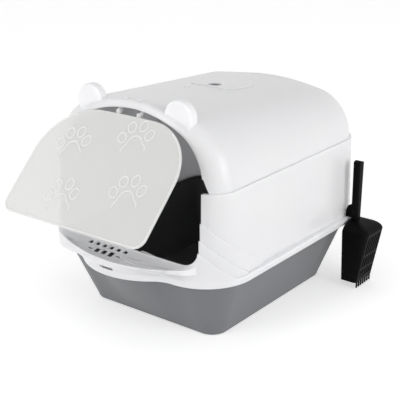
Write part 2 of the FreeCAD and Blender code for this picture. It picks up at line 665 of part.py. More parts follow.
def crown_arch(name, end, offset, side_round, top_round, base, inset):
    """Section across the crown, offset from its front or rear end, narrowed by that end's rounding."""
    front, inset = end == "front", f"({inset})"
    y = f"({inset} + {offset} - {CROWN_FRONT})" if front else f"({CROWN_REAR} - {inset} - {offset})"
    along = f"(({y} + {CROWN_FRONT}) / ({CROWN_FRONT} + {CROWN_REAR}))"
    rise = f"(crown_front_rise + (crown_rear_rise - crown_front_rise) * {along} - {inset})"
    shoulder = f"(shoulder_front + (shoulder_rear - shoulder_front) * {along} - {inset})"
    edge, brow = f"({side_round} - {inset})", f"({top_round} - {inset})"
    side = f"({edge} - sqrt({edge} ^ 2 - ({edge} - {offset}) ^ 2))"
    if number(offset) < number(brow):
        top = f"({brow} - sqrt({brow} ^ 2 - ({brow} - {offset}) ^ 2))"
    else:
        top = "0"
    lean = f"crown_front_lean * (1 - {offset} / {side_round})" if front else \
        f"-crown_rear_lean * (1 - {offset} / {side_round})"
    d = Drawing(name, UPRIGHT)
    d.sketch.setExpression("Placement.Rotation.Angle", formula(f"90 - {lean}"))
    d.place("y", y)
    d.place("z", "ledge_height")
    d.arch(f"{CROWN_HALF} - {inset} - {side}", base, "shoulder_start", f"{rise} - {top}",
           f"{shoulder} - {side} / 2")
    return d.sketch


def crown_ends(name, base, inset):
    """Sections where the crown's rounded nose and tail meet its straight run."""
    front = crown_arch(name + "_run_front", "front", f"(nose_round_side - {inset})", "nose_round_side",
                       "nose_round_top", base, inset)
    rear = crown_arch(name + "_run_rear", "rear", f"(tail_round_side - {inset})", "tail_round_side",
                      "tail_round_top", base, inset)
    return front, rear


def crown_run(name, inset):
    """The crown's straight run, drawn in by inset, on the ledge's level."""
    return loft(name, *crown_ends(name, "0", inset), ruled=True)


def crown(name, base, inset):
    """Domed block under the crown, drawn in by inset: rounded nose, straight run and rounded tail."""
    nose_steps = ("0", "nose_round_top / 8", "nose_round_top / 3", "nose_round_top * 0.65",
                  "nose_round_side * 0.3", "nose_round_side * 0.6")
    tail_steps = ("tail_round_side * 0.6", "tail_round_top * 0.7",
                  "tail_round_top * 0.4", "tail_round_top * 0.17", "tail_round_top / 20", "0")
    nose = [crown_arch(f"{name}_nose_{i}", "front", step, "nose_round_side", "nose_round_top", base, inset)
            for i, step in enumerate(nose_steps)]
    tail = [crown_arch(f"{name}_tail_{i}", "rear", step, "tail_round_side", "tail_round_top", base, inset)
            for i, step in enumerate(tail_steps)]
    front, rear = crown_ends(name, base, inset)
    run = loft(name + "_run", front, rear, ruled=True)
    return fuse(name, loft(name + "_nose", *nose, front), run, loft(name + "_tail", rear, *tail))


wall_block = wall("wall_block", SEAT, "ledge_height", "0")
crown_block = crown("crown_block", "-hood_wall", "0")
band_block = extrusion("band_block", rim_plan("band_plan", "rim_height", "0"), (0, 0, 1), "band_height")

wall_hollow = wall("wall_hollow", SEAT, "ledge_height - hood_wall", "hood_wall")
crown_hollow = crown("crown_hollow", "-hood_wall * 2", "hood_wall")
band_hollow = extrusion("band_hollow", rim_plan("band_hollow_plan", "rim_height", "hood_wall"), (0, 0, 1),
                        "seat_height")

# Whisker steps: three layers on each front corner, each thicker than the one above it

DIAGONAL = FreeCAD.Rotation(FreeCAD.Vector(0, 0, 1), 45).multiply(UPRIGHT)
OTHER_DIAGONAL = FreeCAD.Rotation(FreeCAD.Vector(0, 0, 1), -45).multiply(UPRIGHT)
BAND_TOP = "(rim_height + band_height)"


def whisker_slab(name, side, height, drop):
    """Block under a plane that falls from the entry's edge, back and outwards round a front corner."""
    start = f"((entry_half_width - {LEDGE_FRONT} - lean_front) / sqrt(2))"
    near, far = f"({start} - whisker_reach)", f"({start} + whisker_reach)"
    turn = 1 if side == "right" else -1
    d = Drawing(name, DIAGONAL if side == "right" else OTHER_DIAGONAL)
    level = f"({height} - {drop} {{}} whisker_reach * tan(whisker_slope))"
    corners = [(near, BAND_TOP), (far, BAND_TOP), (far, level.format("-")), (near, level.format("+"))]
    if number(level.format("-")) <= number(BAND_TOP):
        meet = f"({start} + ({height} - {drop} - {BAND_TOP}) / tan(whisker_slope))"
        corners = [(near, BAND_TOP), (meet, BAND_TOP), (near, level.format("+"))]
    if side == "left":
        corners = [(f"-{x}", z) for x, z in reversed(corners)]
    d.polygon(corners)
    d.place("x", f"{turn} * whisker_reach")
    d.place("y", "-whisker_reach")
    return extrusion(name + "_block", d.sketch, (turn, -1, 0), "rim_front")


whisker_layers, whisker_hollows = [], []
for count, height in enumerate(("whisker_high", "whisker_middle", "whisker_low"), 1):
    for side in ("right", "left"):
        name = f"whisker_{side}_{count}"
        grown = wall(name + "_outside", SEAT, "ledge_height", f"-whisker_step * {count}")
        whisker_layers.append(common(name, grown, whisker_slab(name + "_slab", side, height, "0")))
        inner = wall(name + "_inside", SEAT, "ledge_height", f"hood_wall - whisker_step * {count}")
        slab = whisker_slab(name + "_hollow_slab", side, height, "hood_wall * 1.3")
        whisker_hollows.append(common(name + "_hollow", inner, slab))

# Ears: dished discs with a round edge that rise from the crown's front edge


def ear_section(name):
    """Half section of an ear: its dish, the slope round it, the round front edge and the flat back."""
    d = Drawing(name)
    edge, dish, back = number("ear_radius"), number("ear_dish"), number("ear_thickness")
    roll, slope = number("ear_round"), number("ear_slope")
    floor = d.line((0, dish), (edge - roll - slope, dish))
    ramp = d.line((edge - roll - slope, dish), (edge - roll, 0))
    front = d.arc((edge - roll, roll), roll, 270, 360)
    side = d.line((edge, roll), (edge, back))
    rear = d.line((edge, back), (0, back))
    middle = d.line((0, back), (0, dish))
    for one, other in ((floor, ramp), (ramp, front), (side, rear), (rear, middle), (middle, floor)):
        d.rule("Coincident", one, 2, other, 1)
    d.rule("Tangent", front, 2, side, 1)
    for level in (floor, rear):
        d.rule("Horizontal", level)
    for upright in (side, middle):
        d.rule("Vertical", upright)
    d.rule("Vertical", front, 3, front, 1)
    d.at(middle, 1, "0", "ear_thickness")
    d.at(floor, 1, y="ear_dish")
    d.at(floor, 2, x="ear_radius - ear_round - ear_slope")
    d.at(ramp, 2, y="0")
    d.at(side, 1, x="ear_radius")
    d.size("Radius", "ear_round", front)
    return d.sketch


ears = [revolution(name, ear_section(name + "_section"), x, "-ear_front", "ear_height")
        for name, x in (("right_ear", "ear_offset"), ("left_ear", "-ear_offset"))]

# Entry: straight sides, arched top, and a lip with a perforated footplate below it

entry_low = Drawing("entry_low_plan", UPRIGHT)
entry_low.rounded_box("entry_half_width", "entry_sill", "entry_spring + entry_corner", "entry_corner",
                      "entry_corner")
entry_high = Drawing("entry_high_plan", UPRIGHT)
entry_high.arch("entry_arch_half_width", "ledge_height", "entry_spring", "entry_top", "entry_shoulder")
entry = []
entry_foot = Drawing("entry_foot_plan", UPRIGHT)
foot_side = [("entry_arch_half_width + arch_foot", "ledge_height"),
             ("entry_arch_half_width", "ledge_height + arch_foot_height")]
entry_foot.polygon(foot_side + [(f"-({x})", z) for x, z in reversed(foot_side)])
for name, drawing in (("entry_low", entry_low), ("entry_high", entry_high), ("entry_foot", entry_foot)):
    drawing.place("y", "-entry_back")
    entry.append(extrusion(name, drawing.sketch, (0, -1, 0), "rim_front + lip_reach - entry_back"))


def lip_slab(name, half_width, drop, rear):
    """Block below the lip's slope, lowered by drop, from side to side and back to rear."""
    level = f"(lip_height - {drop} + ({{}}) * tan(lip_slope))"
    d = Drawing(name + "_profile", SIDEWAYS)
    d.polygon([(f"-{LIP_END} - lip_edge", "rim_height"), (f"-{rear}", "rim_height"),
               (f"-{rear}", level.format(f"{LIP_END} - {rear}")),
               (f"-{LIP_END} - lip_edge", level.format("-lip_edge"))])
    d.place("x", f"-{half_width}")
    return extrusion(name, d.sketch, (1, 0, 0), f"2 * {half_width}")


def lip_low_plan(name, level, inset):
    """The lip's foot: the rim's outline between the entry's sides, drawn in by inset."""
    d = Drawing(name)
    d.place("z", level)
    w, f, b = (number(f"{side} - ({inset})") for side in ("entry_half_width", "rim_front", "lip_back"))
    r, run = number(f"front_corner - ({inset})"), number(LIP_RUN)
    hollow, bow = number(f"lip_hollow + ({inset})"), number(f"{LIP_BOW} - ({inset})")
    turn = math.degrees(math.asin(run / (hollow + bow)))
    end = math.degrees(math.acos((w - run) / r))
    side_y = r - f - math.sqrt(r ** 2 - (w - run) ** 2)
    rear = d.line((w, -b), (-w, -b))
    left = d.line((-w, -b), (-w, side_y))
    corner_left = d.arc((-run, r - f), r, 180 + end, 270)
    hollow_left = d.arc((-run, -f - hollow), hollow, 90 - turn, 90)
    lip = d.arc((0, bow - f - number("lip_reach")), bow, 270 - turn, 270 + turn)
    hollow_right = d.arc((run, -f - hollow), hollow, 90, 90 + turn)
    corner_right = d.arc((run, r - f), r, 270, 360 - end)
    right = d.line((w, side_y), (w, -b))
    for one, other in ((rear, left), (right, rear)):
        d.rule("Coincident", one, 2, other, 1)
    d.rule("Coincident", left, 2, corner_left, 1)
    d.rule("Tangent", corner_left, 2, hollow_left, 2)
    d.rule("Tangent", hollow_left, 1, lip, 1)
    d.rule("Tangent", lip, 2, hollow_right, 2)
    d.rule("Tangent", hollow_right, 1, corner_right, 1)
    d.rule("Coincident", corner_right, 2, right, 1)
    for side in (left, right):
        d.rule("Vertical", side)
    d.rule("Horizontal", rear)
    d.at(rear, 1, f"entry_half_width - ({inset})", f"({inset}) - lip_back")
    d.at(rear, 2, x=f"({inset}) - entry_half_width")
    for corner, point, x in ((corner_right, 1, LIP_RUN), (corner_left, 2, f"-{LIP_RUN}")):
        d.at(corner, point, x, f"({inset}) - rim_front")
        d.at(corner, 3, x=x)
        d.size("Radius", f"front_corner - ({inset})", corner)
    for side in (hollow_right, hollow_left):
        d.size("Radius", f"lip_hollow + ({inset})", side)
    d.size("Radius", f"{LIP_BOW} - ({inset})", lip)
    return d.sketch


def lip_high_plan(name, level, inset):
    """The lip's upper outline: a broad bow in three arcs between round corners, drawn in by inset."""
    d = Drawing(name)
    d.place("z", level)
    corner = f"(lip_corner - ({inset}))"
    bow = (f"(((entry_half_width - lip_corner) ^ 2 + lip_corner_back ^ 2 - lip_corner ^ 2)"
           f" / (2 * (lip_corner_back - lip_corner)) - ({inset}))")
    start = f"({LIP_END} - lip_corner_back)"
    w, b, s = number(f"entry_half_width - ({inset})"), number(f"lip_back - ({inset})"), number(start)
    r, big, front = number(corner), number(bow), number(f"{LIP_END} - ({inset})")
    turn = math.degrees(math.atan2(w - r, s - (front - big)))
    split = math.degrees(math.asin(number(f"{LIP_RUN} * 0.7") / big))
    rear = d.line((w, -b), (-w, -b))
    left = d.line((-w, -b), (-w, -s))
    corner_left = d.arc((r - w, -s), r, 180, 270 - turn)
    bow_left = d.arc((0, big - front), big, 270 - turn, 270 - split)
    bow_middle = d.arc((0, big - front), big, 270 - split, 270 + split)
    bow_right = d.arc((0, big - front), big, 270 + split, 270 + turn)
    corner_right = d.arc((w - r, -s), r, 270 + turn, 360)
    right = d.line((w, -s), (w, -b))
    chain = [left, corner_left, bow_left, bow_middle, bow_right, corner_right, right]
    for one, other in zip(chain, chain[1:]):
        d.rule("Tangent", one, 2, other, 1)
    for one, other in ((rear, left), (right, rear)):
        d.rule("Coincident", one, 2, other, 1)
    for side in (left, right):
        d.rule("Vertical", side)
    d.rule("Horizontal", rear)
    d.at(rear, 1, f"entry_half_width - ({inset})", f"({inset}) - lip_back")
    d.at(rear, 2, x=f"({inset}) - entry_half_width")
    d.at(left, 2, y=f"-{start}")
    d.at(right, 1, y=f"-{start}")
    d.at(bow_middle, 1, x=f"-{LIP_RUN} * 0.7")
    d.at(bow_middle, 2, x=f"{LIP_RUN} * 0.7")
    for shape in (corner_left, corner_right):
        d.size("Radius", corner, shape)
    for shape in (bow_left, bow_middle, bow_right):
        d.size("Radius", bow, shape)
    return d.sketch


def lip_form(name, inset):
    """The lip's block: upright on the band, then flared out to its broad upper outline."""
    foot = extrusion(name + "_foot", lip_low_plan(name + "_foot_plan", "rim_height", inset), (0, 0, 1),
                     "band_height")
    low = lip_low_plan(name + "_low_plan", BAND_TOP, inset)
    high = lip_high_plan(name + "_high_plan", "lip_height", inset)
    flared = loft(name + "_flare", low, high, ruled=True)
    top = extrusion(name + "_top", lip_high_plan(name + "_top_plan", "lip_height", inset), (0, 0, 1),
                    "lip_rise")
    return fuse(name, foot, flared, top)


lip_block = common("lip_block", lip_form("lip_outside", "0"),
                   lip_slab("lip_slope_block", "rim_half_width", "0", "lip_back"))
lip_hollow = common("lip_inside", lip_form("lip_inner", "hood_wall"),
                    lip_slab("lip_inner_slope", "footplate_half_width",
                             "(footplate_drop + footplate_thickness)",
                             "footplate_rear_gap"))

recess_plan = Drawing("recess_plan", FreeCAD.Rotation(FreeCAD.Vector(0, 0, 1), 180))
recess_plan.place("z", "rim_height + seat_height")
recess_plan.arch("footplate_half_width", "entry_back", f"{LIP_END} - lip_edge - footplate_corner_back",
                 f"{LIP_END} - lip_edge", "footplate_corner")
recess_block = extrusion("recess_block", recess_plan.sketch, (0, 0, 1), "lip_height - rim_height")
recess = cut("footplate_recess", recess_block,
             lip_slab("footplate_top", "entry_half_width", "footplate_drop", "entry_back"))

# Litter holes: the left half of the footplate is pierced by an upper and a lower row

holes = []
for index in range(6):
    x = f"(hole_first + hole_pitch * {index})"
    holes.append(box(f"upper_hole_{index}", (f"{x} - hole_width / 2", f"{x} + hole_width / 2"),
                     ("-hole_row - hole_length / 2", "-hole_row + hole_length / 2"),
                     ("rim_height", "entry_sill")))
for index, length in enumerate(("hole_short", "hole_length", "hole_length", "hole_long", "hole_short")):
    x = f"(hole_first + hole_pitch * ({index} + 0.6))"
    row = "-hole_row - hole_row_pitch"
    holes.append(box(f"lower_hole_{index}", (f"{x} - hole_width / 2", f"{x} + hole_width / 2"),
                     (f"{row} - {length} / 2", f"{row} + {length} / 2"), ("rim_height", "entry_sill")))
catch_slot = box("catch_slot", ("-catch_slot_width / 2", "catch_slot_width / 2"),
                 (f"-{LIP_END} - lip_edge", f"-{LIP_END} + lip_edge"),
                 ("catch_slot_level - catch_slot_height / 2", "catch_slot_level + catch_slot_height / 2"))

# Filter well: an opening in the crown with a ledge for the cover and a slotted floor under it

COVER_FRONT = "(cover_centre + cover_half_length)"
COVER_REAR = "(cover_half_length - cover_centre)"
WELL_FLOOR = f"({crown_level('cover_centre')} - well_depth)"
LEDGE_DROP = "(cover_thickness - cover_rise + cover_seat)"


def cover_prism(name, level, inset, height):
    """Upright block with the cover's outline, drawn in by inset."""
    plan = plain_plan(name + "_plan", level, f"cover_half_width - ({inset})", f"{COVER_FRONT} - ({inset})",
                      f"{COVER_REAR} - ({inset})", f"cover_corner - ({inset})", f"cover_corner - ({inset})")
    return extrusion(name, plan, (0, 0, 1), height)


well_outside = cover_prism("well_outside", f"{WELL_FLOOR} - well_wall", "-cover_gap - well_wall",
                           "2 * well_depth")
well_block = common("well_block", well_outside, crown_run("well_top", "hood_wall / 2"))
well_open = cover_prism("well_open", WELL_FLOOR, "-cover_gap", "2 * well_depth")
well_mouth = cut("well_mouth", well_open, crown_run("well_ledge_top", LEDGE_DROP))
well_inside = cover_prism("well_inside", WELL_FLOOR, "cover_ledge", "2 * well_depth")
vents = []
for index in range(-3, 4):
    x = f"vent_pitch * {index}"
    vents.append(box(f"vent_{index + 3}", (f"{x} - vent_width / 2", f"{x} + vent_width / 2"),
                     ("-cover_centre - vent_length / 2", "-cover_centre + vent_length / 2"),
                     (f"{WELL_FLOOR} - 2 * well_wall", f"{WELL_FLOOR} + well_wall")))

# Holes for the bracket's pegs and the slot for the scoop's hook

peg_holes = [cylinder(name, "peg_radius + peg_play", "crown_front_rise", (0, 0, 1), x, "-peg_back",
                      "ledge_height")
             for name, x in (("right_peg_hole", "peg_spacing"), ("left_peg_hole", "-peg_spacing"))]
hook_slot = box("hook_slot", ("hook_reach - hook_play", "hook_reach + hook_tip_width + hook_play"),
                ("scoop_middle - hook_thickness / 2 - hook_play",
                 "scoop_middle + hook_thickness / 2 + hook_play"),
                (f"{SEAT} - 1", f"{BAND_TOP} + 1"))

NUB_HEIGHT = f"({crown_level('nub_forward')} + nub_rise - ledge_height)"
nub = cylinder("crown_nub", "nub_radius", NUB_HEIGHT, (0, 0, 1), "-nub_offset", "-nub_forward", "ledge_height")
hood_skin = cut("hood_skin", fuse("hood_outside", wall_block, crown_block, band_block, *whisker_layers,
                                  *ears, nub),
                fuse("hood_entry", *entry))
hood_solid = fuse("hood_solid", hood_skin, lip_block)
hood_hollowed = cut("hood_hollowed", hood_solid,
                    fuse("hood_inside", wall_hollow, crown_hollow, band_hollow, *whisker_hollows,
                         lip_hollow, recess))
hood_with_well = fuse("hood_with_well", hood_hollowed, well_block)
hood_shell = cut("hood_shell", hood_with_well,
                 fuse("hood_openings", well_mouth, well_inside, *vents, *peg_holes, hook_slot, catch_slot,
                      *holes))
name_piece(hood_shell, "hood_shell")

# Hinge bracket: a block behind the arch's edge, two arms down to the hinge axis and two snap pegs

bracket_block = common("bracket_block", box("bracket_bar", ("-arm_spacing - arm_thickness / 2",
                                                           "arm_spacing + arm_thickness / 2"),
                                            ("-bracket_front", "bracket_depth - bracket_front"),
                                            ("bracket_low", "ledge_height + crown_front_rise")),
                       crown("bracket_top", "-hood_wall * 2", "hood_wall"))
ARM_ROOT = "(bracket_low + arm_root)"
arms, eyes = [], []
for name, side in (("right", "1"), ("left", "-1")):
    start = f"({side} * arm_spacing - arm_thickness / 2)"
    profile = Drawing(name + "_arm_profile", SIDEWAYS)
    profile.place("x", start)
    profile.polygon([("-hinge_back", "hinge_height - arm_eye"),
                     ("-hinge_back + arm_eye", "hinge_height - arm_eye / 2"),
                     ("-bracket_front + bracket_depth", "bracket_low"),
                     ("-bracket_front + bracket_depth", ARM_ROOT),
                     ("arm_setback - bracket_front", ARM_ROOT),
                     ("arm_setback - bracket_front", "bracket_low - arm_dip"),
                     ("-hinge_back - arm_eye / 2", "hinge_height + arm_eye * 0.8")])
    arms.append(extrusion(name + "_arm", profile.sketch, (1, 0, 0), "arm_thickness"))
    arms.append(cylinder(name + "_eye", "arm_eye + pin_play", "arm_thickness", (1, 0, 0), start,
                         "-hinge_back",
                         "hinge_height"))
    eyes.append(cylinder(name + "_bore", "pin_radius + pin_play", "arm_thickness + 2", (1, 0, 0),
                         f"{start} - 1",
                         "-hinge_back", "hinge_height"))
PEG_TOP = f"({crown_level('peg_back + peg_head')} + peg_head_height)"
pegs = []
for name, x in (("right_peg", "peg_spacing"), ("left_peg", "-peg_spacing")):
    pegs.append(cylinder(name, "peg_radius", f"{PEG_TOP} - {ARM_ROOT}", (0, 0, 1), x, "-peg_back", ARM_ROOT))
    pegs.append(cylinder(name + "_head", "peg_head", "peg_head_height", (0, 0, 1), x, "-peg_back",
                         f"{PEG_TOP} - peg_head_height"))
name_piece(cut("hinge_bracket", fuse("bracket_solid", bracket_block, *arms, *pegs), fuse("arm_bores", *eyes)),
           "hinge_bracket")

# Flap: drawn hanging from the hinge axis, then swung out of the entry

flap_plan = Drawing("flap_plan", UPRIGHT)
flap_plan.arch("flap_half_width", "flap_corner - flap_length", "-flap_spring", "-flap_top", "flap_shoulder")
flap_plan.place("y", "flap_thickness / 2")
flap_foot = Drawing("flap_foot_plan", UPRIGHT)
flap_foot.rounded_box("flap_half_width", "-flap_length", "-flap_spring - flap_corner", "flap_corner",
                      "flap_corner")
flap_foot.place("y", "flap_thickness / 2")
flap_pieces = [extrusion("flap_plate", flap_plan.sketch, (0, -1, 0), "flap_thickness"),
               extrusion("flap_lower_plate", flap_foot.sketch, (0, -1, 0), "flap_thickness")]
LUG_OUT = "(arm_spacing - arm_thickness / 2 - arm_play)"
for name, side in (("right", 1), ("left", -1)):
    flap_pieces.append(cylinder(name + "_lug", "lug_radius", "lug_width", (side, 0, 0),
                                f"{side} * ({LUG_OUT} - lug_width)", "0", "0"))
    low, high = f"{LUG_OUT} - lug_width", LUG_OUT
    span = (low, high) if side == 1 else (f"-({high})", f"-({low})")
    flap_pieces.append(box(name + "_lug_web", span, ("-flap_thickness / 2", "flap_thickness / 2"),
                           ("-flap_top - lug_radius", "0")))
    pin_length = "lug_width + arm_play + arm_thickness"
    flap_pieces.append(cylinder(name + "_pin", "pin_radius", pin_length, (side, 0, 0),
                                f"{side} * ({LUG_OUT} - lug_width)", "0", "0"))
flap_door = fuse("flap_door", *flap_pieces)
flap_door.Placement.Rotation = FreeCAD.Rotation(FreeCAD.Vector(1, 0, 0), -number("flap_open"))
flap_door.setExpression("Placement.Rotation.Angle", formula("-flap_open"))
flap_door.setExpression("Placement.Base.y", formula("-hinge_back"))
flap_door.setExpression("Placement.Base.z", formula("hinge_height"))
name_piece(flap_door, "flap_door")

# Filter cover and the carbon filter under it

cover_block = common("cover_block", cover_prism("cover_outline", "ledge_height + crown_rear_rise / 2", "0",
                                                "crown_front_rise"), crown_run("cover_top", "-cover_rise"))
cover_plate = cut("cover_plate", cover_block, crown_run("cover_underside", "cover_thickness - cover_rise"))
finger = cylinder("cover_finger_hole", "finger_hole", "2 * well_depth", (0, 0, 1), "0",
                  "-cover_centre - finger_hole_forward", WELL_FLOOR)
name_piece(cut("filter_cover", cover_plate, finger), "filter_cover")
name_piece(cover_prism("carbon_filter", WELL_FLOOR, "cover_ledge + filter_play", "filter_thickness"),
           "carbon_filter")

# Scoop: hangs beside the right wall, its open side towards the hood and its hook in the band

SCOOP_IN = "(rim_half_width + scoop_gap)"


def scoop_section(name, level, depth, half_width, radius, inset):
    """Section of the scoop with round outer corners, its open side flush or cut open by the hollow."""
    d = Drawing(name)
    d.place("z", level)
    d.place("x", "scoop_gap")
    d.place("y", "scoop_middle")
    side, corner = f"(({half_width}) - {inset})", f"(({radius}) - {inset})"
    back = f"(rim_half_width + ({depth}) - {inset})"
    mouth = "rim_half_width" if inset == "0" else "rim_half_width - scoop_wall"
    w, r, a, m = number(side), number(corner), number(back), number(mouth)
    low = d.line((m, -w), (a - r, -w))
    low_corner = d.arc((a - r, r - w), r, 270, 360)
    wall_line = d.line((a, r - w), (a, w - r))
    high_corner = d.arc((a - r, w - r), r, 0, 90)
    high = d.line((a - r, w), (m, w))
    open_side = d.line((m, w), (m, -w))
    chain = [low, low_corner, wall_line, high_corner, high]
    for one, other in zip(chain, chain[1:]):
        d.rule("Tangent", one, 2, other, 1)
    d.rule("Coincident", high, 2, open_side, 1)
    d.rule("Coincident", open_side, 2, low, 1)
    for line in (low, high):
        d.rule("Horizontal", line)
    for line in (wall_line, open_side):
        d.rule("Vertical", line)
    d.at(open_side, 1, mouth, side)
    d.at(low, 1, y=f"-{side}")
    d.at(wall_line, 1, x=back)
    for arc in (low_corner, high_corner):
        d.size("Radius", corner, arc)
    return d.sketch


def scoop_form(name, inset):
    """Pan from its tip to its shoulders, and a dome that closes from there to the neck."""
    tip = scoop_section(name + "_tip", "scoop_tip" if inset == "0" else "scoop_tip - 1", "scoop_tip_depth",
                        "scoop_tip_half_width", "scoop_tip_corner", inset)
    shoulder = scoop_section(name + "_shoulder", "scoop_shoulder", "scoop_depth", "scoop_half_width",
                             "scoop_corner", inset)
    pan = loft(name + "_pan", tip, shoulder, ruled=True)
    rise = "neck_height" if inset == "0" else "(neck_height - scoop_wall)"
    dome = []
    for index, turn in enumerate((0, 20, 40, 55, DOME_TURN)):
        left = f"((cos({turn}) - cos({DOME_TURN})) / (1 - cos({DOME_TURN})))"
        dome.append(scoop_section(f"{name}_dome_{index}",
                                  f"scoop_shoulder + {rise} * sin({turn}) / sin({DOME_TURN})",
                                  f"handle_thickness + (scoop_depth - handle_thickness) * {left}",
                                  f"neck_width / 2 + (scoop_half_width - neck_width / 2) * {left}",
                                  f"neck_corner + (scoop_corner - neck_corner) * {left}", inset))
    return fuse(name, pan, loft(name + "_dome", *dome))


DOME_TURN = 70
scoop_pan = cut("scoop_pan", scoop_form("scoop_outside", "0"), scoop_form("scoop_inside", "scoop_wall"))
scoop_slots = []
TINE_SPAN = "(scoop_tip_half_width - scoop_tip_corner)"
TINE_PITCH = f"((2 * {TINE_SPAN} - tine_width) / (tine_count - 1))"
SLOT_LEVELS = (("slot_low", "slot_middle"), ("slot_middle", "slot_high"), ("slot_high", "slot_top"))
TINES = int(number("tine_count"))
for index in range(TINES - 1):
    y = f"(scoop_middle - {TINE_SPAN} + tine_width + {TINE_PITCH} * {index})"
    for row, (low, high) in enumerate(SLOT_LEVELS):
        scoop_slots.append(box(f"slot_{row}_{index}",
                               (f"{SCOOP_IN} + scoop_tip_depth / 2", f"{SCOOP_IN} + scoop_depth + 1"),
                               (y, f"{y} + {TINE_PITCH} - tine_width"),
                               (f"{low} + slot_bar / 2", f"{high} - slot_bar / 2")))
tines = []
for index in range(TINES):
    y = f"(scoop_middle - {TINE_SPAN} + {TINE_PITCH} * {index})"
    tines.append(box(f"tine_{index}",
                     (f"{SCOOP_IN} + scoop_tip_depth - scoop_wall", f"{SCOOP_IN} + scoop_tip_depth"),
                     (y, f"{y} + tine_width"), ("scoop_tip - tine_length", "scoop_tip + tine_root")))
handle_plan = Drawing("handle_plan", SIDEWAYS)
HANDLE_FOOT = "(scoop_neck - scoop_wall - handle_root)"
handle_plan.rounded_box("handle_width / 2", HANDLE_FOOT, "scoop_top", "handle_width * 0.3",
                        "handle_width * 0.48")
handle_plan.place("x", SCOOP_IN)
handle_plan.place("y", "scoop_middle")
handle_outline = extrusion("handle_outline", handle_plan.sketch, (1, 0, 0), "handle_thickness")
handle_ends = []
for name, level, width in (("handle_foot_plan", HANDLE_FOOT, "neck_width"),
                           ("handle_head_plan", "scoop_top + 1", "handle_width")):
    section = Drawing(name, FreeCAD.Rotation(FreeCAD.Vector(0, 0, 1), -90))
    section.rounded_box(width + " / 2", "0", "handle_thickness", "handle_round", "handle_round")
    for axis, text in zip("xyz", (SCOOP_IN, "scoop_middle", level)):
        section.place(axis, text)
    handle_ends.append(section.sketch)
handle = common("handle", handle_outline, loft("handle_rod", *handle_ends, ruled=True))
hook_profile = Drawing("hook_profile", UPRIGHT)
hook_profile.place("y", "scoop_middle + hook_thickness / 2")
hook_profile.polygon([("hook_reach", BAND_TOP), ("hook_reach", f"{BAND_TOP} - hook_tip"),
                      ("hook_reach + hook_tip_width", f"{BAND_TOP} - hook_tip"),
                      ("hook_reach + hook_tip_width", BAND_TOP),
                      (f"{SCOOP_IN} + handle_thickness / 2", BAND_TOP),
                      (f"{SCOOP_IN} + handle_thickness / 2", f"{BAND_TOP} + hook_rise"),
                      (f"{SCOOP_IN} - scoop_gap / 2", f"{BAND_TOP} + hook_rise * 0.97"),
                      ("hook_reach + hook_tip_width", f"{BAND_TOP} + hook_rise * 0.8"),
                      ("hook_reach", f"{BAND_TOP} + hook_rise * 0.45")])
hook = extrusion("hook", hook_profile.sketch, (0, -1, 0), "hook_thickness")
scoop = fuse("scoop", cut("scoop_sieve", scoop_pan, fuse("scoop_openings", *scoop_slots)), *tines, handle,
             hook)
name_piece(scoop, "scoop")



# Check and write every piece

doc.recompute()
broken = [o.Name for o in doc.Objects if "Invalid" in o.State or "Error" in o.State]
if broken:
    raise RuntimeError("failed: " + ", ".join(broken))
os.makedirs("parts", exist_ok=True)
for piece in PIECES:
    shape = piece.Shape
    if shape.isNull() or not shape.isValid():
        raise RuntimeError("bad shape: " + piece.Label)
    print(f"{piece.Label:20s} solids {len(shape.Solids)}  volume {shape.Volume / 1000:9.2f} cm3  "
          f"box {[round(v, 1) for v in (shape.BoundBox.XMin, shape.BoundBox.YMin, shape.BoundBox.ZMin)]}"
          f" {[round(v, 1) for v in (shape.BoundBox.XMax, shape.BoundBox.YMax, shape.BoundBox.ZMax)]}")
for piece in PIECES:
    piece.Shape.exportStep(os.path.join("parts", piece.Label + ".step"))
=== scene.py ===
"""Covered cat litter box: finishes, paw prints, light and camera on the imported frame."""
import json
import math

import bpy
from mathutils import Matrix, Vector


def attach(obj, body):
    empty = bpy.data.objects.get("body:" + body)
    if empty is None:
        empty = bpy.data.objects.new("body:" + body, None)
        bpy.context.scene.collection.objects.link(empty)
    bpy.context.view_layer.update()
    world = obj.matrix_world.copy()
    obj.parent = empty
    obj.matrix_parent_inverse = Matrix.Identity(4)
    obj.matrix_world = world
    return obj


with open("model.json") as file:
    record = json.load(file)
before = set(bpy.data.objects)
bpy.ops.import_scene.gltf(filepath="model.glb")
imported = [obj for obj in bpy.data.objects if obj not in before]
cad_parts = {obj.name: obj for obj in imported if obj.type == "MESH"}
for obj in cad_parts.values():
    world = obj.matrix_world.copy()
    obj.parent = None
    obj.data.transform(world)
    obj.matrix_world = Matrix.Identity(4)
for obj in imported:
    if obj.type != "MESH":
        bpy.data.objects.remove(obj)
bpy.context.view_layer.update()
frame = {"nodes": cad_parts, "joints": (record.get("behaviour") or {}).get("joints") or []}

nodes = frame["nodes"]
joints = {joint["name"]: joint for joint in frame["joints"]}
MM = 0.001

# The flap and the footplate, as the solids have them
FLAP_OPEN = math.radians(45)
FLAP_THICKNESS = 2.4 * MM
FLAP_HALF_WIDTH = 150 * MM
FLAP_LENGTH = 215 * MM
FLAP_SPRING = 102 * MM
FLAP_SHOULDER = 97 * MM
FLAP_CORNER = 20 * MM
LIP_SLOPE = math.radians(15)
LIP_FRONT = 342 * MM
FOOTPLATE_LEVEL = 143.5 * MM


# Helpers

def linear(hex_colour):
    """Linear colour of an sRGB hex value."""
    parts = [int(hex_colour[i:i + 2], 16) / 255 for i in (1, 3, 5)]
    return [p / 12.92 if p <= 0.04045 else ((p + 0.055) / 1.055) ** 2.4 for p in parts] + [1]


def new_material(name):
    """Empty node material: its tree, its shader and its output."""
    material = bpy.data.materials.new(name)
    material.use_nodes = True
    tree = material.node_tree
    shader = tree.nodes["Principled BSDF"]
    return material, tree, shader


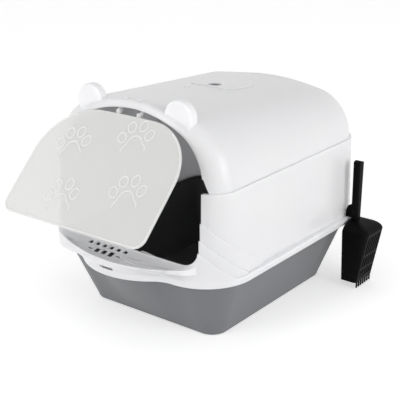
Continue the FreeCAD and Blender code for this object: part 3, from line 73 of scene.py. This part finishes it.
def add(tree, kind, links=None, **settings):
    """Add a node, set its properties and sockets, and link sockets named in links."""
    node = tree.nodes.new(kind)
    for key, value in settings.items():
        if hasattr(node, key):
            setattr(node, key, value)
        else:
            node.inputs[key.replace("_", " ")].default_value = value
    for socket, source in (links or {}).items():
        tree.links.new(source, node.inputs[socket])
    return node


def clear_selection():
    bpy.ops.object.select_all(action="DESELECT")


def ramp_colours(ramp, *stops):
    """Set a colour ramp's stops, each a place and a colour."""
    while len(ramp.color_ramp.elements) < len(stops):
        ramp.color_ramp.elements.new(0.5)
    for element, (place, colour) in zip(ramp.color_ramp.elements, stops):
        element.position = place
        element.color = colour


# Materials

def moulded_plastic(name, shade, variation, roughness, grain_mm, grain_height_mm, gloss_coat=0.0, glow=0.0,
                    glow_depth_mm=4, shine=0.5):
    """Injection-moulded plastic: an even colour with a faint flow variation and a fine satin grain.

    glow is the share of light that scatters inside the wall, which lets daylight into a thin white box.
    shine is the strength of the plain reflection, and gloss_coat adds a polished skin over it.
    """
    material, tree, shader = new_material(name)
    place = add(tree, "ShaderNodeTexCoord").outputs["Object"]
    flow = add(tree, "ShaderNodeTexNoise", {"Vector": place}, Scale=6.0, Detail=2.0, Roughness=0.4)
    tint = add(tree, "ShaderNodeValToRGB", {"Fac": flow.outputs["Fac"]})
    ramp_colours(tint, (0.3, linear(shade)), (0.7, linear(variation)))
    grain = add(tree, "ShaderNodeTexNoise", {"Vector": place}, Scale=1 / (grain_mm * MM), Detail=3.0)
    bump = add(tree, "ShaderNodeBump", {"Height": grain.outputs["Fac"]}, Strength=0.35,
               Distance=grain_height_mm * MM)
    rough = add(tree, "ShaderNodeMapRange", {"Value": grain.outputs["Fac"]}, To_Min=roughness - 0.05,
                To_Max=roughness + 0.05)
    tree.links.new(tint.outputs["Color"], shader.inputs["Base Color"])
    tree.links.new(rough.outputs["Result"], shader.inputs["Roughness"])
    tree.links.new(bump.outputs["Normal"], shader.inputs["Normal"])
    shader.inputs["IOR"].default_value = 1.5
    shader.inputs["Coat Weight"].default_value = gloss_coat
    shader.inputs["Coat Roughness"].default_value = 0.12
    shader.inputs["Specular IOR Level"].default_value = shine
    shader.inputs["Subsurface Weight"].default_value = glow
    shader.inputs["Subsurface Scale"].default_value = glow_depth_mm * MM
    shader.inputs["Subsurface Radius"].default_value = (1, 1, 1)
    return material


def finish(node, material):
    """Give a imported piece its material."""
    mesh = nodes[node].data
    mesh.materials.clear()
    mesh.materials.append(material)


# Polypropylene, moulded in a polished tool: bright white with a soft gloss
white_polypropylene = moulded_plastic("white_polypropylene", "#F4F4F7", "#F1F1F5", 0.34, 2.5, 0.02,
                                      gloss_coat=0.25, glow=0.8, glow_depth_mm=6)
# The same plastic in mid grey, moulded in a finely spark-eroded tool: a dull satin
grey_polypropylene = moulded_plastic("grey_polypropylene", "#77787B", "#747579", 0.5, 1.6, 0.05)
# Recycled polypropylene of the pan: a black plastic, its colour painted lighter as a dark grey to stand in
# for light that barely reaches inside the box; a dull gloss
black_polypropylene = moulded_plastic("black_polypropylene", "#4C4C4B", "#50504F", 0.45, 1.8, 0.04)
# Black polypropylene of the scoop: deep and nearly without reflections
black_scoop_plastic = moulded_plastic("black_scoop_plastic", "#08080A", "#0C0C0E", 0.45, 1.8, 0.04,
                                      shine=0.05)

finish("hood_shell", white_polypropylene)
finish("hinge_bracket", white_polypropylene)
finish("filter_cover", white_polypropylene)
finish("base_tray", grey_polypropylene)
finish("litter_pan", black_polypropylene)
finish("scoop", black_scoop_plastic)


def frosted_polypropylene():
    """Milky translucent plastic of the flap: dark shapes show faintly through both its faces."""
    material, tree, shader = new_material("frosted_polypropylene")
    place = add(tree, "ShaderNodeTexCoord").outputs["Object"]
    grain = add(tree, "ShaderNodeTexNoise", {"Vector": place}, Scale=1 / (1.5 * MM), Detail=3.0)
    bump = add(tree, "ShaderNodeBump", {"Height": grain.outputs["Fac"]}, Strength=0.3, Distance=0.03 * MM)
    tree.links.new(bump.outputs["Normal"], shader.inputs["Normal"])
    shader.inputs["Base Color"].default_value = linear("#F3F4F2")
    shader.inputs["Roughness"].default_value = 0.3
    shader.inputs["IOR"].default_value = 1.49
    shader.inputs["Alpha"].default_value = 0.7
    return material


def carbon_felt():
    """Felt loaded with carbon, coloured mid grey, lighter than such felt usually is; its fibres matted into
    clumps of a millimetre or two.
    """
    material, tree, shader = new_material("carbon_felt")
    place = add(tree, "ShaderNodeTexCoord").outputs["Object"]
    cells = add(tree, "ShaderNodeTexVoronoi", {"Vector": place}, Scale=1 / (1.6 * MM))
    tint = add(tree, "ShaderNodeValToRGB", {"Fac": cells.outputs["Distance"]})
    ramp_colours(tint, (0.1, linear("#6B6B69")), (0.7, linear("#8F8F8C")))
    bump = add(tree, "ShaderNodeBump", {"Height": cells.outputs["Distance"]}, Strength=0.8, Distance=0.6 * MM)
    tree.links.new(tint.outputs["Color"], shader.inputs["Base Color"])
    tree.links.new(bump.outputs["Normal"], shader.inputs["Normal"])
    shader.inputs["Roughness"].default_value = 0.95
    return material


finish("flap_door", frosted_polypropylene())
# The flap's raised lines are thicker, so they read whiter than the sheet
thick_polypropylene = moulded_plastic("thick_frosted_polypropylene", "#EFEFED", "#EBEBE9", 0.3, 1.5,
                                      0.03)
finish("carbon_filter", carbon_felt())


# Paw prints and rim bead: low ridges moulded on the flap's outer face

PAW_TILT = math.radians(15.7)
RIM_INSET = 1.8 * MM


def ridge(points, width, height, closed=False):
    """Low half-round ridge along a smooth line of points, lying on the ground plane."""
    clear_selection()
    curve = bpy.data.curves.new("ridge", "CURVE")
    curve.dimensions = "3D"
    spline = curve.splines.new("NURBS")
    spline.points.add(len(points) - 1)
    for point, (x, y) in zip(spline.points, points):
        point.co = (x, y, 0, 1)
    spline.use_cyclic_u = closed
    spline.use_endpoint_u = not closed
    spline.order_u = 4
    spline.resolution_u = 6
    curve.bevel_depth = width / 2
    curve.bevel_resolution = 3
    curve.use_fill_caps = True
    line = bpy.data.objects.new("ridge", curve)
    bpy.context.scene.collection.objects.link(line)
    line.select_set(True)
    bpy.context.view_layer.objects.active = line
    line.scale.z = height / (width / 2)
    bpy.ops.object.convert(target="MESH")
    bpy.ops.object.transform_apply(location=True, rotation=True, scale=True)
    return bpy.context.object


def oval(x, y, wide, tall, lean):
    """Points round an oval that leans from upright."""
    turns = [math.tau * i / 12 for i in range(12)]
    rounds = [(wide / 2 * math.cos(t), tall / 2 * math.sin(t)) for t in turns]
    return [(x + a * math.cos(lean) + b * math.sin(lean), y + b * math.cos(lean) - a * math.sin(lean))
            for a, b in rounds]


def arc(centre, radius, start, end):
    """Points along an arc between two angles in degrees."""
    steps = max(2, round(abs(end - start) / 9))
    turns = [math.radians(start + (end - start) * i / steps) for i in range(steps + 1)]
    return [(centre[0] + radius * math.cos(t), centre[1] + radius * math.sin(t)) for t in turns]


def on_flap(piece, name, x, down, turn, material):
    """Lay a piece drawn on the ground on the flap's outer face and let it ride on the flap."""
    piece.name = name
    hinge = Vector(joints["flap_swing"]["pos_m"])
    face = Matrix.Translation(hinge) @ Matrix.Rotation(math.radians(90) - FLAP_OPEN, 4, "X")
    spot = Matrix.Translation((x, -down, FLAP_THICKNESS / 2))
    piece.matrix_world = face @ spot @ Matrix.Rotation(turn, 4, "Z")
    clear_selection()
    piece.select_set(True)
    bpy.context.view_layer.objects.active = piece
    bpy.ops.object.transform_apply(location=True, rotation=True, scale=True)
    bpy.ops.object.shade_smooth()
    piece.data.materials.append(material)
    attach(piece, "flap")


def flap_rim(material):
    """Bead just inside the flap's outline, from one shoulder down round the foot to the other."""
    corner, shoulder = FLAP_CORNER - RIM_INSET, FLAP_SHOULDER - RIM_INSET
    right = arc((FLAP_HALF_WIDTH - FLAP_CORNER, FLAP_CORNER - FLAP_LENGTH), corner, 270, 360)
    right += arc((FLAP_HALF_WIDTH - FLAP_SHOULDER, -FLAP_SPRING), shoulder, 0, 60)
    left = [(-x, y) for x, y in reversed(right)]
    on_flap(ridge(left + right, 2.8 * MM, 0.5 * MM), "flap_rim", 0, 0, 0, material)


def paw_print(name, x, down, material):
    """Four toes over an arched pad, open at its foot, at a distance down the flap from its hinge."""
    line_width, line_height = 2.8 * MM, 0.6 * MM
    toes = [(side * out * MM, up * MM, 15.5 * MM, 20.5 * MM, math.radians(side * lean))
            for side in (-1, 1) for out, up, lean in ((25.5, -9, 24), (11, 9, 8))]
    lines = [ridge(oval(*toe), line_width, line_height, closed=True) for toe in toes]
    half = [(22, -37), (23, -31), (17, -26), (13, -18), (9, -10)]
    left = [(-a * MM, b * MM) for a, b in half]
    right = [(a * MM, b * MM) for a, b in reversed(half)]
    pad = left + [(0, -7 * MM)] + right
    lines.append(ridge(pad, line_width, line_height))
    clear_selection()
    for line in lines:
        line.select_set(True)
    bpy.context.view_layer.objects.active = lines[0]
    bpy.ops.object.join()
    on_flap(bpy.context.object, name, x, down, PAW_TILT, material)


flap_rim(thick_polypropylene)
for count, (x, down) in enumerate(((-80.6, 62.4), (34.2, 28.8), (-47.5, 155.1), (72.1, 121.5)), 1):
    paw_print(f"paw_print_{count}", x * MM, down * MM, thick_polypropylene)


# Tread: low wavy ribs on the right half of the footplate, their sizes in millimetres

TREAD_RIBS = 6
TREAD_START, TREAD_END = 22, 118
TREAD_FRONT = -332
TREAD_PITCH = 7.5
TREAD_WAVE = 2.2


def tread(material):
    """Wavy ribs side by side, each a little shorter than the one in front of it."""
    ribs = []
    for row in range(TREAD_RIBS):
        start, end = TREAD_START + row * 3, TREAD_END - row * 6
        level = TREAD_FRONT + row * TREAD_PITCH
        steps = [start + (end - start) * i / 8 for i in range(9)]
        points = [(x * MM, (level + TREAD_WAVE * math.sin(x / 14 + row)) * MM) for x in steps]
        ribs.append(ridge(points, 2.4 * MM, 1.0 * MM))
    clear_selection()
    for rib in ribs:
        rib.select_set(True)
    bpy.context.view_layer.objects.active = ribs[0]
    bpy.ops.object.join()
    whole = bpy.context.object
    whole.name = "footplate_tread"
    front = Matrix.Translation((0, -LIP_FRONT, FOOTPLATE_LEVEL))
    whole.matrix_world = front @ Matrix.Rotation(LIP_SLOPE, 4, "X") @ Matrix.Translation((0, LIP_FRONT, 0))
    bpy.ops.object.transform_apply(location=True, rotation=True, scale=True)
    bpy.ops.object.shade_smooth()
    whole.data.materials.append(material)
    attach(whole, "hood")


tread(white_polypropylene)


# Ground and light

FLOOR_WHITE = 0.42


def seen_directly(tree, otherwise, seen):
    """One value where the camera, a gloss or a clear piece shows the surface, and another for its light."""
    path = add(tree, "ShaderNodeLightPath").outputs
    shown = add(tree, "ShaderNodeMath", operation="MAXIMUM")
    tree.links.new(path["Is Camera Ray"], shown.inputs[0])
    tree.links.new(path["Is Glossy Ray"], shown.inputs[1])
    through = add(tree, "ShaderNodeMath", operation="MAXIMUM")
    tree.links.new(shown.outputs[0], through.inputs[0])
    tree.links.new(path["Is Transmission Ray"], through.inputs[1])
    span = add(tree, "ShaderNodeMapRange", {"Value": through.outputs[0]}, To_Min=otherwise, To_Max=seen)
    return span.outputs["Result"]


def studio_floor():
    """Seamless white ground: shown white to the camera, plain pale to the light that falls on it."""
    bpy.ops.mesh.primitive_plane_add(size=12, location=(0, 0, 0))
    floor = bpy.context.object
    floor.name = "studio_floor"
    material, tree, shader = new_material("studio_white")
    shader.inputs["Base Color"].default_value = linear("#F4F4F4")
    shader.inputs["Roughness"].default_value = 0.9
    shader.inputs["Emission Color"].default_value = (1, 1, 1, 1)
    tree.links.new(seen_directly(tree, 0.0, FLOOR_WHITE), shader.inputs["Emission Strength"])
    floor.data.materials.append(material)
    return floor


def area_light(name, place, power):
    """Round soft box, aimed at the middle of the litter box."""
    data = bpy.data.lights.new(name, "AREA")
    data.shape = "DISK"
    data.size = 1.4
    data.energy = power
    lamp = bpy.data.objects.new(name, data)
    bpy.context.scene.collection.objects.link(lamp)
    lamp.location = place
    lamp.rotation_euler = (Vector((0, 0, 0.2)) - Vector(place)).to_track_quat("-Z", "Y").to_euler()


# Soft light comes more from the sides than from above, as between two tall soft boxes
HORIZON_LIGHT = 0.95
OVERHEAD_LIGHT = 0.4

studio_floor()
world = bpy.data.worlds.new("studio")
bpy.context.scene.world = world
world.use_nodes = True
sky = world.node_tree
backdrop = sky.nodes["Background"]
backdrop.inputs["Color"].default_value = (1, 1, 1, 1)
height = add(sky, "ShaderNodeSeparateXYZ", {"Vector": add(sky, "ShaderNodeTexCoord").outputs["Generated"]})
fall = add(sky, "ShaderNodeMapRange", {"Value": height.outputs["Z"]}, To_Min=HORIZON_LIGHT,
           To_Max=OVERHEAD_LIGHT)
shown = seen_directly(sky, 0.0, 1.0)
strength = add(sky, "ShaderNodeMix", {"Factor": shown}, data_type="FLOAT")
sky.links.new(fall.outputs["Result"], strength.inputs["A"])
strength.inputs["B"].default_value = 1.0
sky.links.new(strength.outputs["Result"], backdrop.inputs["Strength"])
area_light("front", (-0.7, -2.3, 0.9), 15)
area_light("side", (2.4, -0.2, 0.9), 17.5)

# Camera: the photograph's viewing angle, its focal length in pixels of a 400 pixel wide picture

FOCAL_PIXELS = 976
PICTURE_PIXELS = 400
SENSOR = 36
CAMERA_DOWN = 20.1
CAMERA_TURN = 37.5
camera_data = bpy.data.cameras.new("camera")
camera_data.sensor_width = SENSOR
camera_data.lens = FOCAL_PIXELS / PICTURE_PIXELS * SENSOR
camera = bpy.data.objects.new("camera", camera_data)
bpy.context.scene.collection.objects.link(camera)
camera.location = (1.0185, -1.4147, 0.7904)
camera.rotation_euler = (math.radians(90 - CAMERA_DOWN), 0, math.radians(CAMERA_TURN))
bpy.context.scene.camera = camera
bpy.context.scene.view_settings.view_transform = "Standard"
